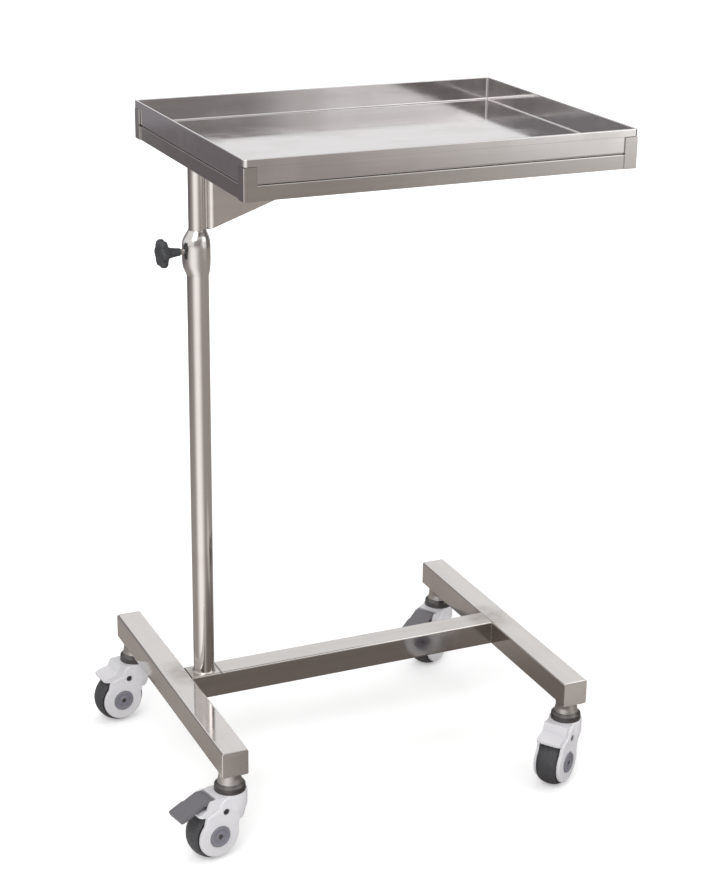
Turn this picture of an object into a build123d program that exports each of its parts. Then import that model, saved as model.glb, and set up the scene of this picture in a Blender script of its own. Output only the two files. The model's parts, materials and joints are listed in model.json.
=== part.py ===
"""A mayo instrument stand: a wheeled H base, a telescopic post beside its left beam, and a lift-off tray.

Millimetres, +Z up, the floor at z = 0 and the origin under the middle of the whole stand. X runs along
the cross rail from the post to the far beam, and Y runs from front to back.
"""

import os
from math import cos, radians, sin

from build123d import *

# Base
base_tube = 40.0
base_tube_wall = 1.5
base_tube_corner = 3.0
beam_length = 500.0
beam_spacing = 560.0
beams_forward = 10.0
end_cap_thickness = 1.5
post_to_beam = 46.0
caster_inset = 25.0

# Casters
wheel_diameter = 80.0
tread_width = 32.0
tread_crown = 5.0
core_diameter = 60.0
core_width = 28.0
hub_diameter = 30.0
rim_thickness = 4.0
web_thickness = 8.0
bearing_diameter = 22.0
bearing_width = 7.0
bearing_seal_inner = 13.0
bearing_seal_outer = 19.0
bearing_seal_depth = 0.5
axle_diameter = 8.0
axle_head_diameter = 14.0
axle_head_height = 2.8
caster_trail = 31.0
housing_height = 100.0
well_clearance = 3.5
cheek_gap = 1.5
cheek_thickness = 5.0
cheek_lobe = 33.0
cheek_edge = 3.0
crown_radius = 25.5
crown_foot_radius = 20.0
crown_depth = 44.0
crown_edge = 0.8
plate_half_width = 20.0
plate_corner = 5.0
shoulder_radius = 20.0
shoulder_forward = 12.0
plate_reach = 36.0
ledge_reach = 64.0
ledge_drop = 18.0
ledge_lip = 4.0
cap_diameter = 33.0
cap_pocket = 2.5
cap_stand_out = 2.5
cap_clearance = 0.4
cap_edge = 1.2
cap_dish_diameter = 10.0
cap_dish_depth = 0.8
hub_boss_diameter = 15.0
hub_boss_height = 2.9
screw_trail = 20.0
screw_height = 77.0
screw_recess_diameter = 10.4
screw_recess_depth = 3.0
screw_head_diameter = 8.4
screw_head_height = 2.0
screw_shank_diameter = 4.0
screw_slot = 1.2
kingpin_diameter = 12.0
kingpin_head_diameter = 18.0
kingpin_head_height = 4.2
journal_length = 17.0
collar_diameter = 46.0
collar_height = 12.0
collar_recess = 2.0
collar_wall = 4.0
collar_gap = 0.6
socket_diameter = 33.0
socket_flare = 37.0
socket_height = 19.5
spigot_diameter = 24.0
spigot_height = 28.0

# Brake pedal, on the front left and back right casters
brake_plate_reach = 47.0
pedal_pin_diameter = 5.0
pedal_pin_trail = 40.0
pedal_pin_height = 91.0
pedal_pin_half = 19.0
pedal_barrel = 10.0
pedal_slot_half = 17.2
pedal_side_clearance = 0.4
slot_clearance = 0.8
pedal_crest_trail = 49.0
pedal_crest_height = 101.0
pedal_reach = 94.0
pedal_tip_height = 82.5
pedal_thickness = 5.4
paddle_half_width = 18.5
paddle_start = 70.0
paddle_corner = 4.0
brake_nose_half = 8.0
brake_nose_length = 11.6
brake_window_length = 16.0
brake_window_depth = 10.0

# Post
lower_tube = 32.0
upper_tube = 25.0
post_tube_wall = 1.5
tube_above_clamp = 16.0
upper_tube_bottom = 300.0
foot_weld = 2.2
collar_sleeve_diameter = 37.2
collar_below_clamp = 36.0
collar_sleeve_taper = 20.0
collar_above_clamp = 31.0
collar_cone_tip = 1.2
cone_overlap = 3.0
bush_length = 55.0
bush_flange = 2.0
glide_length = 40.0
glide_floor = 3.0

# Height clamp
clamp_height = 842.0
boss_reach = 22.0
boss_half_width = 10.5
boss_corner = 6.0
boss_below_clamp = 31.0
boss_bevel = 4.0
boss_top_rise = 11.0
boss_top_set_in = 5.0
clamp_hole_clearance = 0.5
stud_diameter = 8.0
stud_seat = 14.2
pad_diameter = 7.0
pad_stem_diameter = 3.0
pad_stem_length = 4.0
knob_start = 37.0
knob_length = 23.0
knob_neck_diameter = 14.0
knob_diameter = 43.0
knob_lobes = 6
knob_scallop = 9.0
knob_cone_length = 9.0
knob_face_dish = 1.5

# Tray and its frame
tray_length = 600.0
tray_width = 460.0
tray_depth = 35.0
tray_sheet = 1.0
tray_overhang = 16.4
rim_height = 10.5
rim_bend = 1.2
rim_slot = 2.0
floor_bend = 3.0
wall_corner = 4.0
frame_bottom = 963.0
rail_height = 21.0
rail_leg = 20.0
angle_thickness = 2.0
angle_bend = 1.5
upright_leg = 20.0
upright_corner = 1.5
upright_set_back = 0.5
upright_gap = 0.8
bearer_width = 40.0
bearer_wall = 1.5
gusset_width = 30.0
gusset_sheet = 2.0
gusset_corner = 8.0
gusset_drop = 89.5
gusset_reach = 263.0
gusset_tip = 2.0

# Clearances
running_fit = 0.05
seat_gap = 0.3

# Places worked out from the sizes above
wheel_radius = wheel_diameter / 2
tread_half = tread_width / 2
cheek_inner = tread_half + cheek_gap
cheek_outer = cheek_inner + cheek_thickness
well_radius = wheel_radius + well_clearance
cap_floor = cheek_outer - cap_pocket
housing_recess = housing_height - collar_recess
collar_bottom = housing_recess + 1.3 * seat_gap
socket_bottom = housing_height + collar_height
beam_bottom = socket_bottom + socket_height
beam_top = beam_bottom + base_tube
caster_y = beam_length / 2 - caster_inset
headings = {"front_left": 192.0, "front_right": 215.0, "back_left": 187.0, "back_right": 213.0}
braked_casters = ("front_left", "back_right")


def direction(angle):
    """Unit vector in plan of a heading in degrees from +X."""
    return Vector(cos(radians(angle)), sin(radians(angle)), 0)


west_reach = -post_to_beam + pedal_reach * direction(headings["front_left"]).X
east_reach = tray_length - tray_overhang
north_reach = max(beam_length / 2 - beams_forward, tray_width / 2)
front_wheel_reach = (caster_trail + wheel_radius) * direction(headings["front_right"]).Y - tread_half
south_reach = front_wheel_reach - caster_y - beams_forward
mast_x = -(west_reach + east_reach) / 2
mast_y = -(south_reach + north_reach) / 2
beams_y = mast_y - beams_forward
left_beam_x = mast_x - post_to_beam
right_beam_x = left_beam_x + beam_spacing

floor_bottom = frame_bottom + rail_height
floor_top = floor_bottom + tray_sheet
rim_top = floor_top + tray_depth
tray_left = mast_x - tray_overhang
tray_middle = tray_left + tray_length / 2
wall_inset = tray_sheet + rim_slot
upright_top = rim_top - rim_height - upright_gap
rail_inset = upright_set_back + angle_thickness
bearer_top = floor_bottom - angle_thickness
lower_tube_top = clamp_height + tube_above_clamp
collar_sleeve_bottom = clamp_height - collar_below_clamp
collar_cone_top = clamp_height + collar_above_clamp

os.makedirs("parts", exist_ok=True)


def save(part, name):
    """Label a finished piece and write it under its name."""
    part.label = name
    export_step(part, f"parts/{name}.step")


class Caster:
    """Where one caster stands: its swivel axis, and the planes its pieces are drawn on."""

    def __init__(self, name):
        side_y, side_x = name.split("_")
        x = left_beam_x if side_x == "left" else right_beam_x
        y = beams_y + (caster_y if side_y == "back" else -caster_y)
        self.name = name
        self.braked = name in braked_casters
        self.foot = Vector(x, y, 0)
        self.trail = direction(headings[name])
        self.right = self.trail.cross(Vector(0, 0, 1))
        hub = self.foot + self.trail * caster_trail + Vector(0, 0, wheel_radius)
        self.axle = Axis(hub, self.right)

    def plan(self, height):
        """Level plane at a height, its x axis along the trail."""
        return Plane(origin=self.foot + Vector(0, 0, height), x_dir=self.trail, z_dir=(0, 0, 1))

    def side(self, offset):
        """Upright plane across the axle, x along the trail and y up, at an offset to the right."""
        return Plane(origin=self.foot + self.right * offset, x_dir=self.trail, z_dir=self.right)

    def hub(self, offset=0.0):
        """Plane across the axle with its origin on the wheel's centre line."""
        return Plane(origin=self.axle.position + self.right * offset, x_dir=self.trail, z_dir=self.right)

    def section(self):
        """Plane through the swivel axis, for turned pieces: x along the trail and y up."""
        return self.side(0)

    def hub_section(self):
        """Plane through the wheel's axle, for turned pieces: x along the axle and y up."""
        return Plane(origin=self.axle.position, x_dir=self.right, z_dir=-self.trail)

    @property
    def swivel(self):
        """The upright swivel axis."""
        return Axis(self.foot, (0, 0, 1))


casters = [Caster(name) for name in headings]


# Base: two beams with a hole under each end for a caster socket, and the rail butted between them
tube_height = beam_bottom + base_tube / 2
socket_holes = (-caster_y, caster_y)
base_tubes = {
    "left_beam": ((left_beam_x, beams_y), (1, 0, 0), (0, 1, 0), beam_length - 2 * end_cap_thickness),
    "right_beam": ((right_beam_x, beams_y), (1, 0, 0), (0, 1, 0), beam_length - 2 * end_cap_thickness),
    "cross_rail": (
        (left_beam_x + beam_spacing / 2, mast_y), (0, 1, 0), (1, 0, 0), beam_spacing - base_tube
    ),
}
for tube_name, (middle, across, along, length) in base_tubes.items():
    with BuildPart() as tube:
        with BuildSketch(Plane(origin=(*middle, tube_height), x_dir=across, z_dir=along)):
            RectangleRounded(base_tube, base_tube, base_tube_corner)
            bore = base_tube - 2 * base_tube_wall
            RectangleRounded(bore, bore, base_tube_corner - base_tube_wall, mode=Mode.SUBTRACT)
        extrude(amount=length / 2, both=True)
        if tube_name != "cross_rail":
            with BuildSketch(Plane.XY.offset(beam_bottom)):
                with Locations(*((middle[0], middle[1] + place) for place in socket_holes)):
                    Circle(spigot_diameter / 2 + running_fit)
            extrude(amount=base_tube_wall, mode=Mode.SUBTRACT)
    save(tube.part, tube_name)

# Plates that close the beams' ends
with BuildPart() as beam_end_caps:
    for end in (-1, 1):
        outer_face = beams_y + end * beam_length / 2
        cap_plane = Plane(
            origin=(0, outer_face, beam_bottom + base_tube / 2), x_dir=(end, 0, 0), z_dir=(0, -end, 0)
        )
        with BuildSketch(cap_plane):
            with Locations((end * left_beam_x, 0), (end * right_beam_x, 0)):
                RectangleRounded(base_tube, base_tube, base_tube_corner)
        extrude(amount=end_cap_thickness)
save(beam_end_caps.part, "beam_end_caps")

# Caster sockets: flared steel bushes with a spigot up into the beam
with BuildPart() as caster_sockets:
    for caster in casters:
        with BuildSketch(caster.section()):
            with BuildLine():
                Polyline(
                    (kingpin_diameter / 2 + running_fit, socket_bottom),
                    (socket_flare / 2, socket_bottom),
                    (socket_diameter / 2, socket_bottom + socket_height / 2),
                    (socket_diameter / 2, beam_bottom),
                    (spigot_diameter / 2, beam_bottom),
                    (spigot_diameter / 2, beam_bottom + spigot_height),
                    (kingpin_diameter / 2 + running_fit, beam_bottom + spigot_height),
                    close=True,
                )
            make_face()
        revolve(axis=caster.swivel)
save(caster_sockets.part, "caster_sockets")

# Kingpins, each headed below its housing
journal_bottom = housing_recess - journal_length
with BuildPart() as kingpins:
    for caster in casters:
        head_top = journal_bottom - seat_gap
        with BuildSketch(caster.plan(head_top - kingpin_head_height)):
            Circle(kingpin_head_diameter / 2)
        extrude(amount=kingpin_head_height)
        with BuildSketch(caster.plan(head_top)):
            Circle(kingpin_diameter / 2)
        extrude(amount=beam_bottom + spigot_height - head_top)
save(kingpins.part, "kingpins")

# Swivel collars, open below over their bearings
with BuildPart() as swivel_collars:
    for caster in casters:
        bore = kingpin_diameter / 2 + running_fit
        ceiling = socket_bottom - collar_wall
        with BuildSketch(caster.section()):
            with BuildLine():
                Polyline(
                    (bore, ceiling),
                    (collar_diameter / 2 - collar_wall, ceiling),
                    (collar_diameter / 2 - collar_wall, collar_bottom),
                    (collar_diameter / 2, collar_bottom),
                    (collar_diameter / 2, socket_bottom - collar_wall),
                    (socket_flare / 2, socket_bottom),
                    (bore, socket_bottom),
                    close=True,
                )
            make_face()
        revolve(axis=caster.swivel)
save(swivel_collars.part, "swivel_collars")

# Swivel bearings: a thrust ring with a ball groove between the collar and the housing
with BuildPart() as swivel_bearings:
    for caster in casters:
        ring_inner = kingpin_diameter / 2 + seat_gap
        ring_outer = collar_diameter / 2 - collar_wall - seat_gap
        ring_bottom = housing_recess + seat_gap
        ring_top = socket_bottom - collar_wall
        with BuildSketch(caster.section()):
            with Locations(((ring_inner + ring_outer) / 2, (ring_bottom + ring_top) / 2)):
                Rectangle(ring_outer - ring_inner, ring_top - ring_bottom)
            with Locations((ring_outer, (ring_bottom + ring_top) / 2)):
                Circle((ring_top - ring_bottom) / 4, mode=Mode.SUBTRACT)
        revolve(axis=caster.swivel)
save(swivel_bearings.part, "swivel_bearings")


# Side outline of a cheek: a round lobe about the axle below a smaller shoulder by the swivel axis
shoulder_height = housing_height - 1 - shoulder_radius
under_ledge = (ledge_reach - 12, housing_height - ledge_drop - ledge_lip - 2)
with BuildSketch() as cheek_outline:
    with BuildLine():
        lobe = CenterArc((caster_trail, wheel_radius), cheek_lobe, 168, 234)
        shoulder = CenterArc((shoulder_forward, shoulder_height), shoulder_radius, 10, 170)
        Polyline(lobe @ 1, under_ledge, shoulder @ 0)
        Line(shoulder @ 1, lobe @ 0)
    make_face()

# Both cheeks, drawn with the trail along X, height along Y and the axle along Z
with BuildPart() as cheeks:
    for start in (-cheek_outer, cheek_inner):
        with BuildSketch(Plane.XY.offset(start)):
            add(cheek_outline.sketch)
        extrude(amount=cheek_thickness)
    outer_faces = cheeks.faces().sort_by(Axis.Z)
    fillet(outer_faces[0].edges() + outer_faces[-1].edges(), cheek_edge)

# Side outlines of the end of the top plate: a riser and a sloping ledge over the wheel
visor_outlines = {}
for braked, reach in ((False, plate_reach), (True, brake_plate_reach)):
    with BuildSketch() as visor_outline:
        with BuildLine():
            Polyline(
                (shoulder_forward, housing_height),
                (reach - 2, housing_height),
                (reach, housing_height - 2),
                (reach + 4, housing_height - ledge_drop * 0.65),
                (ledge_reach, housing_height - ledge_drop),
                (ledge_reach - 1, housing_height - ledge_drop - ledge_lip),
                under_ledge,
                (shoulder_forward, under_ledge[1]),
                close=True,
            )
        make_face()
    visor_outlines[braked] = visor_outline.sketch


def make_visor(caster):
    """The end of the housing's top plate with the ledge over the wheel."""
    with BuildPart() as visor:
        with BuildSketch(caster.side(-plate_half_width)):
            add(visor_outlines[caster.braked])
        extrude(amount=2 * plate_half_width)
        corners = visor.edges().filter_by(Axis(caster.foot, caster.right), reverse=True)
        fillet(corners.sort_by(Axis(caster.foot, caster.trail))[-2:], plate_corner)
    return visor.part


def make_housing(caster):
    """The moulded housing that swivels on the kingpin and covers both sides of the wheel."""
    visor = make_visor(caster)
    placed_cheeks = caster.section().location * cheeks.part
    with BuildPart() as housing:
        add(placed_cheeks)

        # Crown round the swivel axis, tapering down to the cheeks
        with BuildSketch(caster.section()):
            with BuildLine():
                Polyline(
                    (0, housing_height - crown_depth),
                    (crown_foot_radius, housing_height - crown_depth),
                    (crown_radius, housing_height - crown_depth / 2),
                    (crown_radius, housing_height),
                    (0, housing_height),
                    close=True,
                )
            make_face()
        revolve(axis=caster.swivel)
        crown_top = housing.edges().filter_by(GeomType.CIRCLE).filter_by_position(
            Axis.Z, housing_height - 0.01, housing_height + 0.01
        )
        fillet(crown_top, crown_edge)
        with BuildSketch(caster.side(-crown_radius)):
            with BuildLine():
                Polyline(
                    (-crown_radius, housing_height - crown_depth * 0.7),
                    (caster_trail - cheek_lobe, wheel_radius + 6),
                    (caster_trail - cheek_lobe, wheel_radius),
                    (-crown_radius, wheel_radius),
                    close=True,
                )
            make_face()
        extrude(amount=2 * crown_radius, mode=Mode.SUBTRACT)
        add(visor)

        # Wheel well, with a boss on each cheek beside the hub
        with BuildSketch(caster.hub(-cheek_inner)):
            Circle(well_radius)
        extrude(amount=2 * cheek_inner, mode=Mode.SUBTRACT)
        for offset in (-cheek_inner, cheek_inner - hub_boss_height):
            with BuildSketch(caster.hub(offset)):
                Circle(hub_boss_diameter / 2)
            extrude(amount=hub_boss_height)
        with BuildSketch(caster.hub(-cheek_outer)):
            Circle(axle_diameter / 2 + running_fit)
        extrude(amount=2 * cheek_outer, mode=Mode.SUBTRACT)

        # Pockets for the hub caps and recesses for the cover screws
        for side in (-1, 1):
            with BuildSketch(caster.hub(side * cap_floor)):
                Circle(cap_diameter / 2 + cap_clearance)
            extrude(amount=side * cap_pocket, mode=Mode.SUBTRACT)
            with BuildSketch(caster.side(side * (cheek_outer - screw_recess_depth))):
                with Locations((screw_trail, screw_height)):
                    Circle(screw_recess_diameter / 2)
            extrude(amount=side * screw_recess_depth, mode=Mode.SUBTRACT)
            with BuildSketch(caster.side(side * cheek_inner)):
                with Locations((screw_trail, screw_height)):
                    Circle(screw_shank_diameter / 2 + running_fit)
            extrude(amount=side * cheek_thickness, mode=Mode.SUBTRACT)

        # Seat of the swivel collar, and the kingpin's journal and head room
        with BuildSketch(caster.plan(housing_recess)):
            Circle(collar_diameter / 2 + collar_gap)
        extrude(amount=collar_recess, mode=Mode.SUBTRACT)
        with BuildSketch(caster.plan(wheel_radius)):
            Circle(kingpin_diameter / 2 + running_fit)
        extrude(amount=housing_height - wheel_radius, mode=Mode.SUBTRACT)
        with BuildSketch(caster.plan(wheel_radius)):
            Circle(kingpin_head_diameter / 2 + collar_gap)
        extrude(amount=journal_bottom - wheel_radius, mode=Mode.SUBTRACT)

        if caster.braked:
            # Slot for the pedal, open into the well under the brake nose, and its pin's blind holes
            slot_start = pedal_pin_trail - pedal_barrel / 2 - slot_clearance
            slot_floor = pedal_pin_height - pedal_barrel / 2 - slot_clearance
            slot_length = ledge_reach + slot_clearance - slot_start
            with BuildSketch(caster.plan(slot_floor)):
                with Locations((slot_start + slot_length / 2, 0)):
                    Rectangle(slot_length, 2 * pedal_slot_half)
            extrude(amount=housing_height - slot_floor, mode=Mode.SUBTRACT)
            with BuildSketch(caster.plan(slot_floor - brake_window_depth)):
                with Locations((pedal_pin_trail + slot_clearance, 0)):
                    Rectangle(brake_window_length, 2 * brake_nose_half + 2)
            extrude(amount=brake_window_depth, mode=Mode.SUBTRACT)
            with BuildSketch(caster.side(-pedal_pin_half)):
                with Locations((pedal_pin_trail, pedal_pin_height)):
                    Circle(pedal_pin_diameter / 2 + running_fit)
            extrude(amount=2 * pedal_pin_half, mode=Mode.SUBTRACT)
    return housing.part


def make_pedal(caster):
    """The brake pedal: a sloping paddle on a barrel round its pin, with the nose that meets the tread."""
    half = pedal_slot_half - pedal_side_clearance
    slope = (pedal_crest_height - pedal_tip_height) / (pedal_reach - pedal_crest_trail)

    def top(place):
        return pedal_tip_height + slope * (pedal_reach - place)

    with BuildPart() as pedal:
        with BuildSketch(caster.side(-half)):
            with BuildLine():
                Polyline(
                    (pedal_pin_trail - 3, housing_height - 1),
                    (pedal_crest_trail, pedal_crest_height),
                    (pedal_reach, pedal_tip_height),
                    (pedal_reach - 2, top(pedal_reach - 2) - pedal_thickness),
                    (pedal_crest_trail + 4, top(pedal_crest_trail + 4) - pedal_thickness),
                    (pedal_pin_trail + 4, pedal_pin_height),
                    (pedal_pin_trail - 3, pedal_pin_height),
                    close=True,
                )
            make_face()
            with Locations((pedal_pin_trail, pedal_pin_height)):
                Circle(pedal_barrel / 2)
        extrude(amount=2 * half)
        with BuildSketch(caster.side(-paddle_half_width)):
            with BuildLine():
                Polyline(
                    (paddle_start, top(paddle_start)),
                    (pedal_reach, pedal_tip_height),
                    (pedal_reach - 2, top(pedal_reach - 2) - pedal_thickness),
                    (paddle_start, top(paddle_start) - pedal_thickness),
                    close=True,
                )
            make_face()
        extrude(amount=2 * paddle_half_width)
        tip_edges = pedal.edges().filter_by(Axis(caster.foot, caster.right), reverse=True)
        tip_edges = tip_edges.sort_by(Axis(caster.foot, caster.trail))[-2:]
        fillet(tip_edges, paddle_corner)
        with BuildSketch(caster.side(-brake_nose_half)):
            with BuildLine():
                Polyline(
                    (pedal_pin_trail - 3.5, pedal_pin_height),
                    (pedal_pin_trail + 4.5, pedal_pin_height),
                    (pedal_pin_trail + 5, pedal_pin_height - brake_nose_length + 0.5),
                    (pedal_pin_trail + 1.5, pedal_pin_height - brake_nose_length),
                    close=True,
                )
            make_face()
        extrude(amount=2 * brake_nose_half)
        with BuildSketch(caster.side(-half)):
            with Locations((pedal_pin_trail, pedal_pin_height)):
                Circle(pedal_pin_diameter / 2 + running_fit)
        extrude(amount=2 * half, mode=Mode.SUBTRACT)
    return pedal.part


def make_tread(caster):
    """The rubber tyre, crowned at its edges."""
    inner = core_diameter / 2 + running_fit
    with BuildPart() as tread:
        with BuildSketch(caster.hub_section()):
            with BuildLine():
                Polyline(
                    (tread_half, wheel_radius - tread_crown),
                    (tread_half - 2, inner),
                    (2 - tread_half, inner),
                    (-tread_half, wheel_radius - tread_crown),
                )
                ThreePointArc(
                    (-tread_half, wheel_radius - tread_crown),
                    (0, wheel_radius),
                    (tread_half, wheel_radius - tread_crown),
                )
            make_face()
        revolve(axis=caster.axle)
    return tread.part


def make_core(caster):
    """The wheel's core: hub, web and rim in one moulding, bored for the bearings."""
    half = core_width / 2
    bore = bearing_diameter / 2 + running_fit
    with BuildPart() as core:
        with BuildSketch(caster.hub_section()):
            with BuildLine():
                Polyline(
                    (-half, bore),
                    (-half, hub_diameter / 2),
                    (-web_thickness / 2, hub_diameter / 2 + 1),
                    (-web_thickness / 2, core_diameter / 2 - rim_thickness - 1),
                    (-half, core_diameter / 2 - rim_thickness),
                    (-half, core_diameter / 2),
                    (half, core_diameter / 2),
                    (half, core_diameter / 2 - rim_thickness),
                    (web_thickness / 2, core_diameter / 2 - rim_thickness - 1),
                    (web_thickness / 2, hub_diameter / 2 + 1),
                    (half, hub_diameter / 2),
                    (half, bore),
                    close=True,
                )
            make_face()
        revolve(axis=caster.axle)
    return core.part


def make_bearings(caster):
    """Two ball-bearing units, one in each end of the core's bore."""
    with BuildPart() as bearings:
        for offset in (-core_width / 2, core_width / 2 - bearing_width):
            with BuildSketch(caster.hub(offset)):
                Circle(bearing_diameter / 2)
                Circle(axle_diameter / 2 + running_fit, mode=Mode.SUBTRACT)
            extrude(amount=bearing_width)
        for face in bearings.faces().filter_by(GeomType.PLANE):
            with BuildSketch(Plane(origin=face.center(), z_dir=face.normal_at())):
                Circle(bearing_seal_outer / 2)
                Circle(bearing_seal_inner / 2, mode=Mode.SUBTRACT)
            extrude(amount=-bearing_seal_depth, mode=Mode.SUBTRACT)
    return bearings.part


def make_axle(caster):
    """The axle, headed in both cap pockets."""
    with BuildPart() as axle:
        with BuildSketch(caster.hub(-cap_floor)):
            Circle(axle_diameter / 2)
        extrude(amount=2 * cap_floor)
        for side in (-1, 1):
            with BuildSketch(caster.hub(side * cap_floor)):
                Circle(axle_head_diameter / 2)
            extrude(amount=side * axle_head_height)
    return axle.part


def make_hub_caps(caster):
    """The pair of hub caps, hollow over the axle's heads and dished in the middle."""
    inner = cap_floor
    outer = cheek_outer + cap_stand_out
    hollow = axle_head_diameter / 2 + 1
    radius = cap_diameter / 2
    with BuildPart() as caps:
        for side in (-1, 1):
            with BuildSketch(caster.hub_section()):
                with BuildLine():
                    Polyline(
                        (side * inner, hollow),
                        (side * inner, radius),
                        (side * (outer - cap_edge), radius),
                        (side * outer, radius - 2 * cap_edge),
                        (side * outer, cap_dish_diameter / 2),
                        (side * (outer - cap_dish_depth), cap_dish_diameter / 2 - 1),
                        (side * (outer - cap_dish_depth), 0),
                        (side * (inner + axle_head_height + seat_gap), 0),
                        (side * (inner + axle_head_height + seat_gap), hollow),
                        close=True,
                    )
                make_face()
            revolve(axis=caster.axle)
    return caps.part


def make_cover_screws(caster):
    """The screw in each cheek's recess, slotted across its head."""
    floor = cheek_outer - screw_recess_depth
    with BuildPart() as screws:
        for side in (-1, 1):
            with BuildSketch(caster.side(side * floor)):
                with Locations((screw_trail, screw_height)):
                    Circle(screw_head_diameter / 2)
            extrude(amount=side * screw_head_height)
            with BuildSketch(caster.side(side * cheek_inner)):
                with Locations((screw_trail, screw_height)):
                    Circle(screw_shank_diameter / 2)
            extrude(amount=side * (floor - cheek_inner))
            with BuildSketch(caster.side(side * (floor + screw_head_height))):
                with Locations((screw_trail, screw_height)):
                    Rectangle(screw_head_diameter, screw_slot)
            extrude(amount=-side * screw_head_height / 2, mode=Mode.SUBTRACT)
    return screws.part


def make_pedal_pin(caster):
    """The pin that the brake pedal rocks on."""
    with BuildPart() as pin:
        with BuildSketch(caster.side(seat_gap - pedal_pin_half)):
            with Locations((pedal_pin_trail, pedal_pin_height)):
                Circle(pedal_pin_diameter / 2)
        extrude(amount=2 * (pedal_pin_half - seat_gap))
    return pin.part


for caster in casters:
    save(make_housing(caster), f"{caster.name}_caster_housing")
    save(make_tread(caster), f"{caster.name}_tread")
    save(make_core(caster), f"{caster.name}_wheel_core")
    save(make_bearings(caster), f"{caster.name}_wheel_bearings")
    save(make_axle(caster), f"{caster.name}_axle")
    save(make_hub_caps(caster), f"{caster.name}_hub_caps")
    save(make_cover_screws(caster), f"{caster.name}_cover_screws")
    if caster.braked:
        save(make_pedal(caster), f"{caster.name}_brake_pedal")
        save(make_pedal_pin(caster), f"{caster.name}_pedal_pin")

# Post
mast = Vector(mast_x, mast_y, 0)
mast_axis = Axis(mast, (0, 0, 1))
mast_section = Plane(origin=mast, x_dir=(1, 0, 0), z_dir=(0, -1, 0))
lower_outer = lower_tube / 2
lower_inner = lower_outer - post_tube_wall
upper_outer = upper_tube / 2
clamp_hole = stud_diameter / 2 + clamp_hole_clearance


def mast_plan(height):
    """Level plane with its origin on the mast's axis."""
    return Plane(origin=mast + Vector(0, 0, height), x_dir=(1, 0, 0), z_dir=(0, 0, 1))


def clamp_plane(reach):
    """Plane across the clamp's axis, which points away from the far beam."""
    return Plane(origin=(mast_x - reach, mast_y, clamp_height), x_dir=(0, -1, 0), z_dir=(-1, 0, 0))


clamp_axis = Axis((mast_x, mast_y, clamp_height), (-1, 0, 0))
clamp_section = Plane(origin=(mast_x, mast_y, clamp_height), x_dir=(-1, 0, 0), z_dir=(0, 1, 0))

with BuildPart() as lower_post:
    with BuildSketch(mast_plan(beam_top)):
        Circle(lower_outer)
        Circle(lower_inner, mode=Mode.SUBTRACT)
    extrude(amount=lower_tube_top - beam_top)
    with BuildSketch(clamp_plane(0)):
        Circle(clamp_hole)
    extrude(amount=lower_tube, mode=Mode.SUBTRACT)
save(lower_post.part, "lower_post")

with BuildPart() as post_foot_weld:
    with BuildSketch(mast_section):
        with BuildLine():
            Polyline(
                (lower_outer + running_fit, beam_top),
                (lower_outer + foot_weld, beam_top),
                (lower_outer + running_fit, beam_top + foot_weld),
                close=True,
            )
        make_face()
    revolve(axis=mast_axis)
save(post_foot_weld.part, "post_foot_weld")

bush_outer = lower_inner - running_fit
bush_inner = upper_outer + running_fit
flange_top = lower_tube_top + bush_flange
with BuildPart() as guide_bush:
    with BuildSketch(mast_section):
        with BuildLine():
            Polyline(
                (bush_inner, lower_tube_top - bush_length),
                (bush_outer, lower_tube_top - bush_length),
                (bush_outer, lower_tube_top),
                (lower_outer, lower_tube_top),
                (lower_outer, flange_top),
                (bush_inner, flange_top),
                close=True,
            )
        make_face()
    revolve(axis=mast_axis)
    with BuildSketch(clamp_plane(0)):
        Circle(clamp_hole)
    extrude(amount=lower_tube, mode=Mode.SUBTRACT)
save(guide_bush.part, "guide_bush")

sleeve_outer = collar_sleeve_diameter / 2
sleeve_bore = lower_outer + running_fit
cone_start = flange_top - cone_overlap
with BuildPart() as post_collar:
    with BuildSketch(mast_section):
        with BuildLine():
            Polyline(
                (0, collar_sleeve_bottom),
                (lower_outer + seat_gap, collar_sleeve_bottom),
                (sleeve_outer, collar_sleeve_bottom + collar_sleeve_taper),
                (sleeve_outer, cone_start),
                (upper_outer + collar_cone_tip, collar_cone_top),
                (0, collar_cone_top),
                close=True,
            )
        make_face()
    revolve(axis=mast_axis)
    with BuildSketch(clamp_section):
        with BuildLine():
            Polyline(
                (0, -boss_below_clamp),
                (boss_reach - boss_bevel, -boss_below_clamp),
                (boss_reach, boss_bevel - boss_below_clamp),
                (boss_reach, cone_start - clamp_height),
                (boss_reach - boss_top_set_in, cone_start + boss_top_rise - clamp_height),
                (0, cone_start + boss_top_rise - clamp_height),
                close=True,
            )
        make_face()
    extrude(amount=boss_half_width, both=True)
    boss_face = post_collar.faces().filter_by(Axis.X).sort_by(Axis.X)[0]
    fillet(boss_face.edges().filter_by(Axis.Z), boss_corner)
    with BuildSketch(mast_plan(collar_sleeve_bottom)):
        Circle(sleeve_bore)
    extrude(amount=flange_top + seat_gap - collar_sleeve_bottom, mode=Mode.SUBTRACT)
    with BuildSketch(mast_plan(collar_sleeve_bottom)):
        Circle(upper_outer + seat_gap)
    extrude(amount=collar_cone_top - collar_sleeve_bottom, mode=Mode.SUBTRACT)
    with BuildSketch(clamp_plane(0)):
        Circle(stud_diameter / 2 + running_fit)
    extrude(amount=2 * boss_reach, mode=Mode.SUBTRACT)
save(post_collar.part, "post_collar")

with BuildPart() as upper_post:
    upper_tube_start = upper_tube_bottom + glide_floor + running_fit
    with BuildSketch(mast_plan(upper_tube_start)):
        Circle(upper_outer)
        Circle(upper_outer - post_tube_wall, mode=Mode.SUBTRACT)
    extrude(amount=frame_bottom - upper_tube_start)
save(upper_post.part, "upper_post")

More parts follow.
